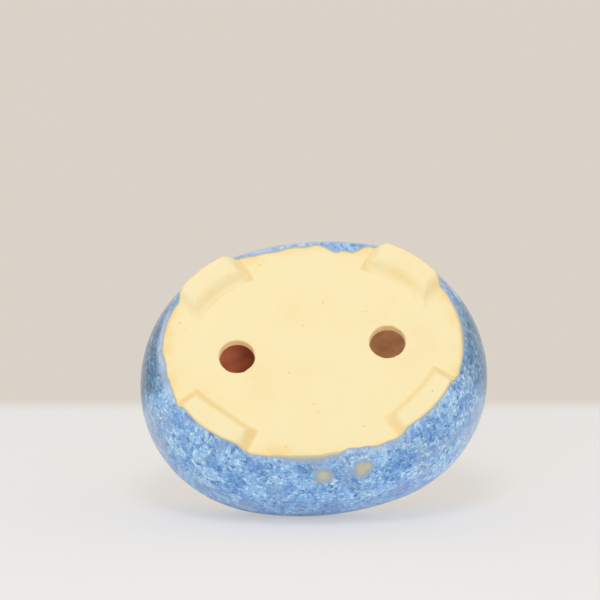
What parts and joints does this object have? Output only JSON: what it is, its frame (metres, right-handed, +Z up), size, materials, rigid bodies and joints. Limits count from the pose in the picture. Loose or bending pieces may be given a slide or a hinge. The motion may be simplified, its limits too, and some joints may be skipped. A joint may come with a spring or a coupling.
{
  "type": "oval bonsai pot",
  "caption": "Low oval plant pot in blue-glazed clay, with a swelling wall that draws in at the mouth, a bare flat base with drain holes, and low feet under its edge.",
  "frame": {"origin": "middle of the pot on the surface that it stands on", "axes": "+Z up, out of the mouth; +X along the length of the oval; -Y out of the flank with the thin spots in its glaze"},
  "size_m": [0.15, 0.123, 0.052],
  "materials": {
    "bare_clay": "unglazed, fired, matt",
    "blue_glaze": "mottled blue, glossy"
  },
  "bodies": {
    "root": {"base_slab": "bare_clay", "pot_wall": "bare_clay", "front_left_foot": "bare_clay", "front_right_foot": "bare_clay", "rear_left_foot": "bare_clay", "rear_right_foot": "bare_clay", "glaze_coat": "blue_glaze"}
  },
  "joints": []
}
